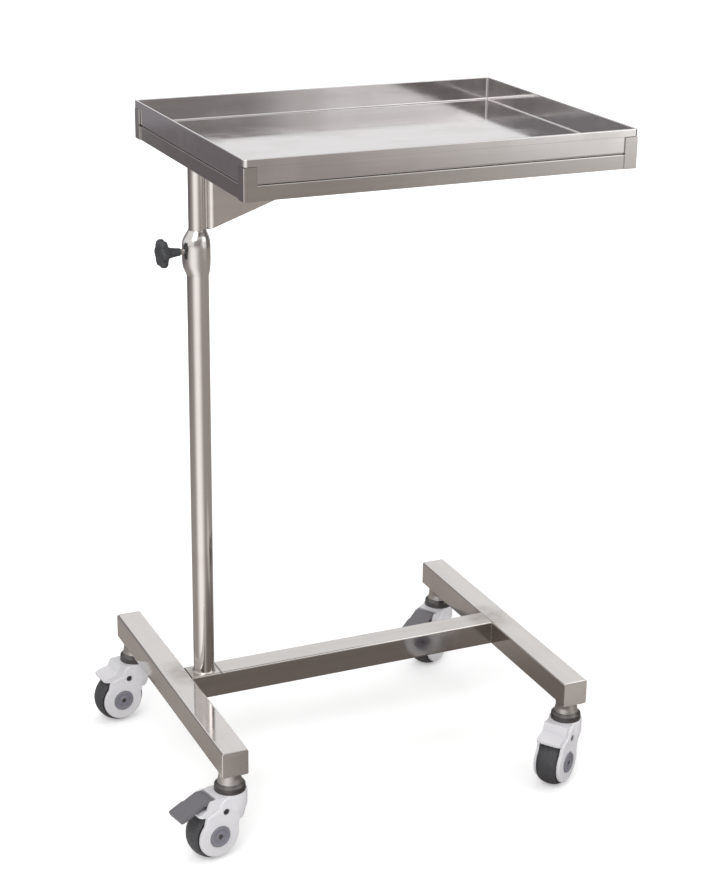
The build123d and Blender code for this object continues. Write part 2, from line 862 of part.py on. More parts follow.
with BuildPart() as glide_sleeve:
    with BuildSketch(mast_plan(upper_tube_bottom)):
        Circle(bush_outer)
        Circle(upper_outer - 2 * post_tube_wall, mode=Mode.SUBTRACT)
    extrude(amount=glide_floor)
    with BuildSketch(mast_plan(upper_tube_bottom + glide_floor)):
        Circle(bush_outer)
        Circle(bush_inner, mode=Mode.SUBTRACT)
    extrude(amount=glide_length)
save(glide_sleeve.part, "glide_sleeve")

# Height clamp: a lobed knob on a threaded stud, which pushes a pad against the upper post
pad_start = upper_outer + seat_gap
pad_end = stud_seat - running_fit
with BuildPart() as clamp_pad:
    with BuildSketch(clamp_plane(pad_start)):
        Circle(pad_diameter / 2)
    extrude(amount=pad_end - pad_start)
    with BuildSketch(clamp_plane(pad_end)):
        Circle(pad_stem_diameter / 2)
    extrude(amount=pad_stem_length)
save(clamp_pad.part, "clamp_pad")

knob_bore_end = knob_start + knob_length / 2
with BuildPart() as clamp_stud:
    with BuildSketch(clamp_plane(stud_seat)):
        Circle(stud_diameter / 2)
    extrude(amount=knob_bore_end - stud_seat)
    with BuildSketch(clamp_plane(stud_seat)):
        Circle(pad_stem_diameter / 2 + running_fit)
    extrude(amount=pad_stem_length + seat_gap, mode=Mode.SUBTRACT)
save(clamp_stud.part, "clamp_stud")

knob_end = knob_start + knob_length
knob_radius = knob_diameter / 2
with BuildPart() as clamp_knob:
    with BuildSketch(clamp_section):
        with BuildLine():
            Polyline(
                (knob_end - knob_face_dish, 0),
                (knob_start, 0),
                (knob_start, knob_neck_diameter / 2),
                (knob_start + knob_cone_length, knob_radius * 0.62),
                (knob_start + knob_cone_length + 3, knob_radius),
                (knob_end - 4, knob_radius),
                (knob_end, knob_radius * 0.75),
                close=True,
            )
        make_face()
    revolve(axis=clamp_axis)
    with BuildSketch(clamp_plane(knob_start)):
        with PolarLocations(knob_radius + knob_scallop * 0.55, knob_lobes):
            Circle(knob_scallop)
    extrude(amount=knob_length + knob_scallop, mode=Mode.SUBTRACT)
    with BuildSketch(clamp_plane(knob_start)):
        Circle(stud_diameter / 2 + running_fit)
    extrude(amount=knob_bore_end - knob_start, mode=Mode.SUBTRACT)
save(clamp_knob.part, "clamp_knob")

# Tray frame: four mitred angle rails, an upright at each corner, and a bearer over the post
rail_size = (tray_length - 2 * rail_inset, tray_width - 2 * rail_inset)


def make_rail(plane, length):
    """An angle rail along a plane's x axis: outer face at y = 0, seat on top, ends mitred."""
    with BuildPart() as rail:
        for depth, bottom, height in (
            (angle_thickness, 0, rail_height),
            (rail_leg, rail_height - angle_thickness, angle_thickness),
        ):
            with BuildSketch(plane.offset(bottom)):
                with BuildLine():
                    Polyline(
                        (-length / 2, 0),
                        (length / 2, 0),
                        (length / 2 - depth, depth),
                        (depth - length / 2, depth),
                        close=True,
                    )
                make_face()
            extrude(amount=height)
        fillet(rail.edges().sort_by_distance(plane.offset(rail_height).origin)[0], angle_bend)
    return rail.part


for rail_name, offset_x, offset_y, along, length in (
    ("front_rail", 0, -rail_size[1] / 2, (1, 0, 0), rail_size[0]),
    ("right_rail", rail_size[0] / 2, 0, (0, 1, 0), rail_size[1]),
    ("back_rail", 0, rail_size[1] / 2, (-1, 0, 0), rail_size[0]),
    ("left_rail", -rail_size[0] / 2, 0, (0, -1, 0), rail_size[1]),
):
    rail_plane = Plane(
        origin=(tray_middle + offset_x, mast_y + offset_y, frame_bottom), x_dir=along, z_dir=(0, 0, 1)
    )
    save(make_rail(rail_plane, length), rail_name)

with BuildPart() as corner_uprights:
    for side_x in (-1, 1):
        for side_y in (-1, 1):
            corner_x = tray_middle + side_x * (tray_length / 2 - upright_set_back)
            corner_y = mast_y + side_y * (tray_width / 2 - upright_set_back)
            inner_x = corner_x - side_x * angle_thickness
            inner_y = corner_y - side_y * angle_thickness
            with BuildSketch(Plane.XY.offset(frame_bottom)):
                with BuildLine():
                    Polyline(
                        (corner_x, corner_y),
                        (corner_x - side_x * upright_leg, corner_y),
                        (corner_x - side_x * upright_leg, inner_y),
                        (inner_x, inner_y),
                        (inner_x, corner_y - side_y * upright_leg),
                        (corner_x, corner_y - side_y * upright_leg),
                        close=True,
                    )
                make_face()
            extrude(amount=upright_top - frame_bottom)
    outermost = corner_uprights.edges().filter_by(Axis.Z).sort_by_distance((tray_middle, mast_y, floor_bottom))[-4:]
    fillet(outermost, upright_corner)
save(corner_uprights.part, "corner_uprights")

bearer_length = rail_size[0] - 2 * angle_thickness
bearer_height = bearer_top - frame_bottom
with BuildPart() as centre_bearer:
    with BuildSketch(
        Plane(
            origin=(tray_middle, mast_y, frame_bottom + bearer_height / 2),
            x_dir=(0, 1, 0),
            z_dir=(1, 0, 0),
        )
    ):
        Rectangle(bearer_width, bearer_height)
        Rectangle(bearer_width - 2 * bearer_wall, bearer_height - 2 * bearer_wall, mode=Mode.SUBTRACT)
    extrude(amount=bearer_length / 2, both=True)
save(centre_bearer.part, "centre_bearer")

# Gusset: a sheet folded round the back of the post into two tapering cheeks
gusset_start = upper_outer + running_fit
gusset_bottom = frame_bottom - gusset_drop
with BuildPart() as gusset_bracket:
    for inset, mode in ((0, Mode.ADD), (gusset_sheet, Mode.SUBTRACT)):
        gusset_end = gusset_reach + inset
        with BuildSketch(mast_plan(gusset_bottom)):
            with Locations(((gusset_start + inset + gusset_end) / 2, 0)):
                Rectangle(gusset_end - gusset_start - inset, gusset_width - 2 * inset)
            fillet(vertices().group_by(Axis.X)[0], gusset_corner - inset)
        extrude(amount=gusset_drop, mode=mode)
    slope_plane = Plane(
        origin=(mast_x + gusset_start, mast_y, gusset_bottom),
        x_dir=(0, 1, 0),
        z_dir=(-(gusset_drop - gusset_tip), 0, gusset_reach - gusset_start),
    )
    split(bisect_by=slope_plane, keep=Keep.TOP)
save(gusset_bracket.part, "gusset_bracket")

# Tray: a pressed pan whose rim turns out and down over the uprights
with BuildPart() as tray:
    pan_x = tray_length - 2 * wall_inset
    pan_y = tray_width - 2 * wall_inset
    pan_plane = Plane(origin=(tray_middle, mast_y, floor_bottom), x_dir=(1, 0, 0), z_dir=(0, 0, 1))
    with BuildSketch(pan_plane):
        RectangleRounded(pan_x, pan_y, wall_corner)
    extrude(amount=rim_top - floor_bottom)
    fillet(tray.edges().group_by(Axis.Z)[0], floor_bend)
    offset(amount=-tray_sheet, openings=tray.faces().sort_by(Axis.Z)[-1])
    rim_corner = wall_corner + wall_inset
    with BuildSketch(pan_plane.offset(rim_top - floor_bottom - tray_sheet)):
        RectangleRounded(tray_length, tray_width, rim_corner)
        RectangleRounded(
            pan_x - 2 * tray_sheet, pan_y - 2 * tray_sheet, wall_corner - tray_sheet, mode=Mode.SUBTRACT
        )
    extrude(amount=tray_sheet)
    with BuildSketch(pan_plane.offset(rim_top - floor_bottom - rim_height)):
        RectangleRounded(tray_length, tray_width, rim_corner)
        RectangleRounded(
            tray_length - 2 * tray_sheet,
            tray_width - 2 * tray_sheet,
            rim_corner - tray_sheet,
            mode=Mode.SUBTRACT,
        )
    extrude(amount=rim_height)
    rim_edges = tray.edges().group_by(Axis.Z)[-1].sort_by_distance((tray_middle, mast_y, rim_top))
    fillet(rim_edges[-8:], rim_bend)
save(tray.part, "tray")
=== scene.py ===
"""Mayo instrument stand: the finishes, fittings, light and camera round its solid frame, in metres."""

import json
import logging
import math
from dataclasses import dataclass
from enum import Enum

import bmesh
import bpy
from mathutils import Matrix, Vector


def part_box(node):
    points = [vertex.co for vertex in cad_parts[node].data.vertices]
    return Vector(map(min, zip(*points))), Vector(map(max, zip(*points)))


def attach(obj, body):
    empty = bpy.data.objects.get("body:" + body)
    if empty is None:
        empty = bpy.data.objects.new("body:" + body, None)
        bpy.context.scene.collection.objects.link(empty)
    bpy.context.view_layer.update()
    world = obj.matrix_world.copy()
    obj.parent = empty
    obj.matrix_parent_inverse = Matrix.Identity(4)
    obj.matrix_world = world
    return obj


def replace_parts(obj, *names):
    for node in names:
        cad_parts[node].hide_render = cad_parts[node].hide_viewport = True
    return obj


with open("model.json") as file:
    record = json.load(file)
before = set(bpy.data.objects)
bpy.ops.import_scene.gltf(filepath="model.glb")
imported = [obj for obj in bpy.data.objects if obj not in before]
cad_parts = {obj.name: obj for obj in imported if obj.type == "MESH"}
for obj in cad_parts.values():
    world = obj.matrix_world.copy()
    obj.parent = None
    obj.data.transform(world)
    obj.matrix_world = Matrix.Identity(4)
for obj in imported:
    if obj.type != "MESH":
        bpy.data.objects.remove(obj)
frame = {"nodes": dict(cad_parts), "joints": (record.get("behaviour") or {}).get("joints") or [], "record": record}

log = logging.getLogger("instrument_stand")
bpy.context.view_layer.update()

Colour = tuple[float, float, float]
Place = tuple[float, float, float]
IMAGE_SIZE = (706, 880)
BODY_OF = {node: body for body, nodes in frame["record"]["behaviour"]["bodies"].items() for node in nodes}


class Socket:
    """A number on its way through a tree of nodes, with Python's arithmetic."""

    def __init__(self, graph: "Graph", output: bpy.types.NodeSocket) -> None:
        """Wraps an output.

        Args:
            graph: The tree being wired.
            output: The node output that carries the number.
        """
        self.graph = graph
        self.output = output

    def maths(self, operation: str, *others: "Socket | float") -> "Socket":
        """Adds a Math node fed by this number and others.

        Args:
            operation: The Math node's operation.
            *others: The node's other inputs.

        Returns:
            The result.
        """
        node = self.graph.node("ShaderNodeMath", {"operation": operation}, (self, *others))
        return Socket(self.graph, node.outputs[0])

    def __add__(self, other: "Socket | float") -> "Socket":
        """Adds."""
        return self.maths("ADD", other)

    def __sub__(self, other: "Socket | float") -> "Socket":
        """Subtracts."""
        return self.maths("SUBTRACT", other)

    def __rsub__(self, other: float) -> "Socket":
        """Subtracts from a plain number."""
        return (self * -1.0) + other

    def __mul__(self, other: "Socket | float") -> "Socket":
        """Multiplies."""
        return self.maths("MULTIPLY", other)

    __radd__ = __add__
    __rmul__ = __mul__

    def between(self, low: float, high: float) -> "Socket":
        """Eases from 0 at one value to 1 at another.

        Args:
            low: Where the result is 0.
            high: Where the result is 1.

        Returns:
            The eased value.
        """
        node = self.graph.node(
            "ShaderNodeMapRange", {"interpolation_type": "SMOOTHSTEP"}, {"Value": self, 1: low, 2: high}
        )
        return Socket(self.graph, node.outputs[0])


class Graph:
    """A tree of nodes, made by type, settings and inputs."""

    def __init__(self, owner: bpy.types.Material | bpy.types.World) -> None:
        """Starts an empty tree.

        Args:
            owner: The material or world whose tree it is.
        """
        owner.use_nodes = True
        self.tree = owner.node_tree
        self.tree.nodes.clear()

    def feed(self, target: bpy.types.NodeSocket, value: object) -> None:
        """Links or sets one input.

        Args:
            target: The input.
            value: A Socket, a node output, a number or a colour.
        """
        if isinstance(value, Socket):
            value = value.output
        if isinstance(value, bpy.types.NodeSocket):
            self.tree.links.new(value, target)
        elif target.type == "RGBA" and len(value) == 3:
            target.default_value = (*value, 1.0)
        else:
            target.default_value = value

    def node(self, kind: str, settings: dict | None = None, inputs: dict | tuple = ()) -> bpy.types.Node:
        """Adds a node.

        Args:
            kind: The node's type.
            settings: Its properties.
            inputs: Its input values or links, by name or place.

        Returns:
            The node.
        """
        made = self.tree.nodes.new(kind)
        for key, value in (settings or {}).items():
            setattr(made, key, value)
        pairs = inputs.items() if isinstance(inputs, dict) else enumerate(inputs)
        for key, value in pairs:
            self.feed(made.inputs[key], value)
        return made


class Shader(Graph):
    """One material's nodes, with the patterns that its finish is made of."""

    def __init__(self, name: str) -> None:
        """Starts a material with a bare Principled shader.

        Args:
            name: The material's name.
        """
        self.material = bpy.data.materials.new(name)
        super().__init__(self.material)
        self.surface = self.node("ShaderNodeBsdfPrincipled")
        self.node("ShaderNodeOutputMaterial", {}, (self.surface.outputs[0],))

    def place(
        self, scale: Place = (1.0, 1.0, 1.0), offset: Place = (0.0, 0.0, 0.0)
    ) -> bpy.types.NodeSocket:
        """Object coordinates, moved and stretched.

        Args:
            scale: The stretch on each axis.
            offset: What is taken off first, in metres.

        Returns:
            The vector output.
        """
        coordinates = self.node("ShaderNodeTexCoord")
        moved = self.node(
            "ShaderNodeVectorMath", {"operation": "SUBTRACT"}, (coordinates.outputs["Object"], offset)
        )
        stretched = self.node("ShaderNodeVectorMath", {"operation": "MULTIPLY"}, (moved.outputs[0], scale))
        return stretched.outputs[0]

    def axis(self, index: int) -> Socket:
        """One object coordinate, in metres."""
        return Socket(self, self.node("ShaderNodeSeparateXYZ", {}, (self.place(),)).outputs[index])

    def spot(self, centre: Place, inner: float, outer: float) -> Socket:
        """A soft round spot: 1 near its centre, fading to 0.

        Args:
            centre: The centre, in metres.
            inner: The distance where it starts to fade.
            outer: The distance where it has gone.

        Returns:
            The spot's strength.
        """
        node = self.node("ShaderNodeVectorMath", {"operation": "DISTANCE"}, (self.place(), centre))
        return 1.0 - Socket(self, node.outputs[1]).between(inner, outer)

    def noise(self, scale: float | Place, detail: float = 2.0, offset: Place = (0.0, 0.0, 0.0)) -> Socket:
        """Noise from 0 to 1 on object coordinates.

        Args:
            scale: Cells per metre, the same or different on each axis.
            detail: Octaves.
            offset: A shift of the pattern.

        Returns:
            The noise.
        """
        stretch = scale if isinstance(scale, tuple) else (scale,) * 3
        node = self.node(
            "ShaderNodeTexNoise", {}, {"Vector": self.place(stretch, offset), "Scale": 1.0, "Detail": detail}
        )
        return Socket(self, node.outputs[0])

    def blend(self, factor: Socket, first: object, second: object) -> bpy.types.NodeSocket:
        """Mixes two colours.

        Args:
            factor: 0 for the first, 1 for the second.
            first: A colour or a colour output.
            second: A colour or a colour output.

        Returns:
            The mixed colour.
        """
        node = self.node("ShaderNodeMix", {"data_type": "RGBA"}, {0: factor, 6: first, 7: second})
        return node.outputs[2]

    def relief(self, height: Socket, distance: float, strength: float = 1.0) -> None:
        """Feeds a bump into the surface.

        Args:
            height: The relief, from 0 to 1.
            distance: Its depth in metres.
            strength: How strongly it shows.
        """
        bump = self.node("ShaderNodeBump", {}, {"Height": height, "Distance": distance, "Strength": strength})
        self.feed(self.surface.inputs["Normal"], bump.outputs[0])

    def finish(self, **values: object) -> bpy.types.Material:
        """Sets the Principled shader's inputs.

        Args:
            **values: A value or link for each, under the input's name with its spaces as underscores.

        Returns:
            The material.
        """
        for name, value in values.items():
            self.feed(self.surface.inputs[name.replace("_", " ").title().replace("Ior", "IOR")], value)
        return self.material


def tint(colour: Colour, factor: float) -> Colour:
    """A colour made lighter or darker."""
    return tuple(min(1.0, channel * factor) for channel in colour)


HEAT_TINT = (0.30, 0.26, 0.23)
# Colour of the narrow dark band across the crossbar's top, just beside the post's foot.
DARK_BAND_TONE = (0.11, 0.09, 0.08)
# A warm grey, for the grit on the tyres and for the darkening low down on the plastics.
WARM_GREY = (0.30, 0.28, 0.26)
MIRROR_GRAIN = 0.000002


class Grain(Enum):
    """Which way a brushed finish runs, as cells per metre along each axis."""

    X = (9.0, 1900.0, 1900.0)
    Y = (1900.0, 9.0, 1900.0)
    Z = (1900.0, 1900.0, 9.0)
    NONE = (620.0, 620.0, 620.0)


@dataclass(frozen=True)
class Steel:
    """Brushed or turned metal, with its grain, faint mill bands and handling smudges."""

    name: str
    colour: Colour
    grain: Grain = Grain.NONE
    roughness: float = 0.16
    depth: float = 0.000004
    stain: float = 0.16
    tinted: tuple[Place, ...] = ()
    tint_reach: float = 0.045
    dark_band: float | None = None

    def material(self) -> bpy.types.Material:
        """Builds the material.

        Returns:
            The material.
        """
        shader = Shader(self.name)
        along = self.grain.value
        lines = shader.noise(along, 3.0)
        bands = shader.noise(tuple(max(cells / 30.0, 1.3) for cells in along), 2.0, (0.31, 0.17, 0.05))
        smudge = shader.noise(13.0, 4.0, (1.7, 0.4, 2.3)).between(0.42, 0.72)
        tone = lines * 0.35 + bands * 0.65
        brushed = shader.blend(tone, tint(self.colour, 0.88), tint(self.colour, 1.10))
        warm = (self.colour[0] * 0.88, self.colour[1] * 0.84, self.colour[2] * 0.80)
        colour = shader.blend(smudge * self.stain * 2.0, brushed, warm)
        rough = (lines - 0.5) * 0.08 + (bands - 0.5) * 0.07 + smudge * 0.09 + self.roughness
        for place in self.tinted:
            heat = shader.spot(place, self.tint_reach * 0.4, self.tint_reach) * shader.noise(60.0, 3.0)
            colour = shader.blend(heat * 0.55, colour, HEAT_TINT)
            rough = rough + heat * 0.16
        # A narrow dark band across the top of the tube at a set place along X, rougher than the rest.
        if self.dark_band is not None:
            line = 1.0 - (shader.axis(0) - self.dark_band).maths("ABSOLUTE").between(0.0008, 0.0026)
            line = line * shader.axis(2).between(RAIL_HIGH.z - 0.004, RAIL_HIGH.z - 0.001)
            colour = shader.blend(line * 0.7, colour, DARK_BAND_TONE)
            rough = rough + line * 0.25
        shader.relief(lines, self.depth)
        return shader.finish(metallic=1.0, base_color=colour, roughness=rough)


@dataclass(frozen=True)
class Moulded:
    """Moulded plastic: spark-eroded grain, faint flow marks, scuffs, and a patchy warm grey darkening towards the
    bottom.
    """

    name: str
    colour: Colour
    roughness: float = 0.42
    grain: float = 1600.0
    depth: float = 0.00003
    low_darkening: float = 0.35
    coat: float = 0.0

    def material(self) -> bpy.types.Material:
        """Builds the material.

        Returns:
            The material.
        """
        shader = Shader(self.name)
        grain = shader.noise(self.grain, 2.0)
        flow = shader.noise((38.0, 38.0, 70.0), 3.0, (0.2, 0.9, 0.4))
        scuff = shader.noise((240.0, 240.0, 900.0), 4.0).between(0.60, 0.74)
        # Patchy warm grey darkening towards the bottom, from 75 mm above the floor down to 5 mm.
        low = 1.0 - shader.axis(2).between(0.005, 0.075)
        plain = shader.blend(flow, tint(self.colour, 0.93), tint(self.colour, 1.05))
        darkened_low = shader.blend(low * flow * self.low_darkening, plain, WARM_GREY)
        colour = shader.blend(scuff * 0.22, darkened_low, tint(self.colour, 0.72))
        rough = (grain - 0.5) * 0.10 + scuff * 0.18 + low * 0.10 + self.roughness
        shader.relief(grain, self.depth)
        return shader.finish(base_color=colour, roughness=rough, coat_weight=self.coat)


@dataclass(frozen=True)
class Rubber:
    """Cast tyre rubber: matte and mottled, with grit pressed into its face."""

    name: str
    colour: Colour
    roughness: float = 0.62

    def material(self) -> bpy.types.Material:
        """Builds the material.

        Returns:
            The material.
        """
        shader = Shader(self.name)
        fine = shader.noise(2100.0, 3.0)
        mottle = shader.noise(90.0, 4.0, (0.6, 0.1, 0.8))
        grit = shader.noise(700.0, 1.0, (0.3, 0.3, 0.1)).between(0.66, 0.72)
        worn = shader.blend(mottle, tint(self.colour, 0.78), tint(self.colour, 1.30))
        colour = shader.blend(grit * 0.35, worn, WARM_GREY)
        rough = (mottle - 0.5) * 0.16 + (fine - 0.5) * 0.10 + self.roughness
        shader.relief(fine * 0.6 + mottle * 0.4, 0.00008)
        return shader.finish(base_color=colour, roughness=rough, specular_ior_level=0.4)


POST_LOW, POST_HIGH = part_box("lower_post")
MAST = Vector(((POST_LOW.x + POST_HIGH.x) / 2, (POST_LOW.y + POST_HIGH.y) / 2, 0.0))
RAIL_LOW, RAIL_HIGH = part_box("cross_rail")
HEAT_INSET = 0.008
JOINTS = tuple(
    (x, y, RAIL_HIGH.z)
    for x in (RAIL_LOW.x, RAIL_HIGH.x)
    for y in (RAIL_LOW.y + HEAT_INSET, RAIL_HIGH.y - HEAT_INSET)
)
# Where the narrow dark band crosses the crossbar's top, just beside the post's foot.
DARK_BAND_X = MAST.x + 0.0215
STAINLESS = (0.60, 0.575, 0.56)
FINISHES = {
    "tube_y": Steel("tube_brushed_y", tint(STAINLESS, 1.08), Grain.Y, 0.07, MIRROR_GRAIN, tinted=JOINTS),
    "tube_x": Steel("tube_brushed_x", STAINLESS, Grain.X, 0.09, MIRROR_GRAIN, tinted=JOINTS, dark_band=DARK_BAND_X),
    "tube_z": Steel("post_brushed_z", (0.66, 0.635, 0.62), Grain.Z, 0.09, MIRROR_GRAIN),
    "plate": Steel("plate_brushed", tint(STAINLESS, 0.97), Grain.X, 0.20),
    "sheet_x": Steel("rail_brushed_x", tint(STAINLESS, 0.84), Grain.X, 0.12),
    "sheet_y": Steel("rail_brushed_y", tint(STAINLESS, 0.84), Grain.Y, 0.12),
    "bracket": Steel("bracket_brushed_x", tint(STAINLESS, 1.14), Grain.X, 0.14),
    "pan": Steel("pan_brushed", (0.63, 0.61, 0.61), Grain.X, 0.08, MIRROR_GRAIN, 0.10),
    "turned": Steel("turned_steel", (0.52, 0.50, 0.49), Grain.NONE, 0.26),
    "collar": Steel("post_collar_steel", (0.66, 0.64, 0.63), Grain.Z, 0.15),
    "zinc": Steel("swivel_zinc", (0.135, 0.128, 0.128), Grain.NONE, 0.38, 0.00002, 0.30),
    "weld": Steel("ground_weld", (0.50, 0.47, 0.45), Grain.NONE, 0.30, 0.00005, 0.40),
    "bearing": Steel("bearing_steel", (0.55, 0.54, 0.54), Grain.NONE, 0.16),
    "brass": Steel("brass_pad", (0.62, 0.46, 0.22), Grain.NONE, 0.30),
    "nylon": Moulded("guide_nylon", (0.72, 0.70, 0.64), 0.48, 900.0, 0.00002, 0.0),
    "housing": Moulded("housing_plastic", (0.74, 0.73, 0.755), 0.34, 1500.0, 0.000012, 0.30, 0.15),
    "cap": Moulded("cap_plastic", (0.20, 0.195, 0.235), 0.38, 1500.0, 0.000012, 0.20, 0.10),
    "core": Moulded("core_plastic", (0.42, 0.42, 0.45), 0.46),
    "pedal": Moulded("pedal_plastic", (0.150, 0.142, 0.156), 0.40, 1300.0, 0.00002, 0.15),
    "knob": Moulded("knob_plastic", (0.040, 0.042, 0.047), 0.44, 1200.0, 0.00004, 0.0),
    "tread": Rubber("tread_rubber", (0.052, 0.051, 0.055)),
}


SHARP_EDGE = math.radians(32)
FLAT_ENOUGH = math.radians(0.4)
WELD_DISTANCE = 2e-6


class Wardrobe:
    """Hands out each finish's material, built once, and dresses solids in them."""

    def __init__(self) -> None:
        """Starts with nothing built."""
        self.made: dict[str, bpy.types.Material] = {}

    def material(self, finish: str) -> bpy.types.Material:
        """The material of a finish, by its name in FINISHES."""
        if finish not in self.made:
            self.made[finish] = FINISHES[finish].material()
        return self.made[finish]

    def dress(self, node: str, finish: str) -> None:
        """Gives a solid of the frame its finish.

        Args:
            node: The solid's name.
            finish: The finish's name.
        """
        mesh = frame["nodes"][node].data
        mesh.materials.clear()
        mesh.materials.append(self.material(finish))
        log.info("%s wears %s", node, finish)

    def face(self, node: str, finish: str, edge: float = 0.0004) -> None:
        """Covers a solid with a merged copy of itself, its curves smooth and its edges eased.

        Args:
            node: The solid's name.
            finish: The finish's name.
            edge: How wide its edges are eased, in metres.
        """
        self.dress(node, finish)
        mesh = bmesh.new()
        mesh.from_mesh(frame["nodes"][node].data)
        bmesh.ops.remove_doubles(mesh, verts=mesh.verts, dist=WELD_DISTANCE)
        bmesh.ops.dissolve_limit(mesh, angle_limit=FLAT_ENOUGH, verts=mesh.verts, edges=mesh.edges)
        piece = publish(mesh, f"{node}_faced", None, BODY_OF[node], finish, SHARP_EDGE)
        bevel = piece.modifiers.new("eased_edges", "BEVEL")
        bevel.width = edge
        bevel.segments = 2
        bevel.limit_method = "ANGLE"
        bevel.angle_limit = SHARP_EDGE
        bevel.harden_normals = True
        normals = piece.modifiers.new("even_normals", "WEIGHTED_NORMAL")
        normals.keep_sharp = True
        normals.weight = 100
        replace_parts(piece, node)


wardrobe = Wardrobe()


@dataclass(frozen=True)
class Stance:
    """A place and three directions, for building a piece where it belongs."""

    origin: Vector
    x: Vector
    z: Vector

    def matrix(self) -> Matrix:
        """Works out the transform from the piece's own axes to the stand's.

        Returns:
            The transform.
        """
        y = self.z.cross(self.x)
        turn = Matrix((self.x, y, self.z)).transposed().to_4x4()
        return Matrix.Translation(self.origin) @ turn


def publish(
    mesh: bmesh.types.BMesh,
    name: str,
    stance: Stance | None,
    body: str,
    finish: str,
    smooth: float = 0.6,
) -> bpy.types.Object:
    """Turns a finished bmesh into a piece of the stand.

    Args:
        mesh: The shape, on its own axes.
        name: The piece's name.
        stance: Where it goes, or None where it is there already.
        body: The body it moves with.
        finish: Its finish.
        smooth: The sharpest bend, in radians, that is shaded smooth.

    Returns:
        The object.
    """
    if stance:
        bmesh.ops.remove_doubles(mesh, verts=mesh.verts, dist=1e-7)
        bmesh.ops.recalc_face_normals(mesh, faces=mesh.faces)
        bmesh.ops.transform(mesh, matrix=stance.matrix(), verts=mesh.verts)
    for face in mesh.faces:
        face.smooth = True
    for edge in mesh.edges:
        edge.smooth = len(edge.link_faces) == 2 and edge.calc_face_angle(0.0) < smooth
    data = bpy.data.meshes.new(name)
    mesh.to_mesh(data)
    mesh.free()
    piece = bpy.data.objects.new(name, data)
    bpy.context.scene.collection.objects.link(piece)
    data.materials.append(wardrobe.material(finish))
    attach(piece, body)
    log.info("%s rides on %s", name, body)
    return piece


def spun(profile: list[tuple[float, float]], steps: int = 72) -> bmesh.types.BMesh:
    """Spins a profile round the Z axis.

    Args:
        profile: Radius and height, from one end of the outline to the other.
        steps: Segments in the turn.

    Returns:
        The turned shape.
    """
    mesh = bmesh.new()
    points = [mesh.verts.new((radius, 0.0, height)) for radius, height in profile]
    edges = [mesh.edges.new(pair) for pair in zip(points, points[1:])]
    bmesh.ops.spin(
        mesh, geom=points + edges, axis=(0, 0, 1), cent=(0, 0, 0), angle=math.tau, steps=steps, use_merge=True
    )
    return mesh


def unit(value: float) -> float:
    """A number kept from 0 to 1."""
    return min(1.0, max(0.0, value))


@dataclass(frozen=True)
class Weld:
    """A rippled weld bead between two points."""

    radius: float = 0.0012
    ripple: float = 0.0025
    unevenness: float = 0.10

    def build(self, name: str, start: Vector, end: Vector, body: str) -> None:
        """Lays the bead.

        Args:
            name: The piece's name.
            start: One end.
            end: The other end.
            body: The body it moves with.
        """
        run = end - start
        direction = run.normalized()
        side = direction.orthogonal().normalized()
        rings = max(4, int(run.length / (self.ripple / 2)))
        profile = [(0.0, 0.0)]
        for index in range(rings + 1):
            size = self.radius * (1.0 + (self.unevenness if index % 2 else -self.unevenness))
            profile.append((size, run.length * index / rings))
        profile.append((0.0, run.length))
        publish(spun(profile, 12), name, Stance(start, side, direction), body, "weld", 1.2)


@dataclass
class Base:
    """The H base of square tube, with its sockets and swivel collars."""

    weld_inset: float = 0.002

    def dress(self) -> None:
        """Gives the base's solids their finishes and lays the welds at its joints."""
        for node in ("left_beam", "right_beam"):
            wardrobe.face(node, "tube_y")
        wardrobe.face("cross_rail", "tube_x")
        wardrobe.face("beam_end_caps", "plate", 0.0006)
        wardrobe.face("caster_sockets", "turned")
        wardrobe.dress("kingpins", "turned")
        wardrobe.face("swivel_collars", "zinc")
        wardrobe.dress("swivel_bearings", "bearing")
        for side, x in (("left", RAIL_LOW.x), ("right", RAIL_HIGH.x)):
            for face, y in (("front", RAIL_LOW.y), ("back", RAIL_HIGH.y)):
                foot = Vector((x, y, RAIL_LOW.z + self.weld_inset))
                top = Vector((x, y, RAIL_HIGH.z - self.weld_inset))
                Weld().build(f"base_weld_{side}_{face}", foot, top, "base")


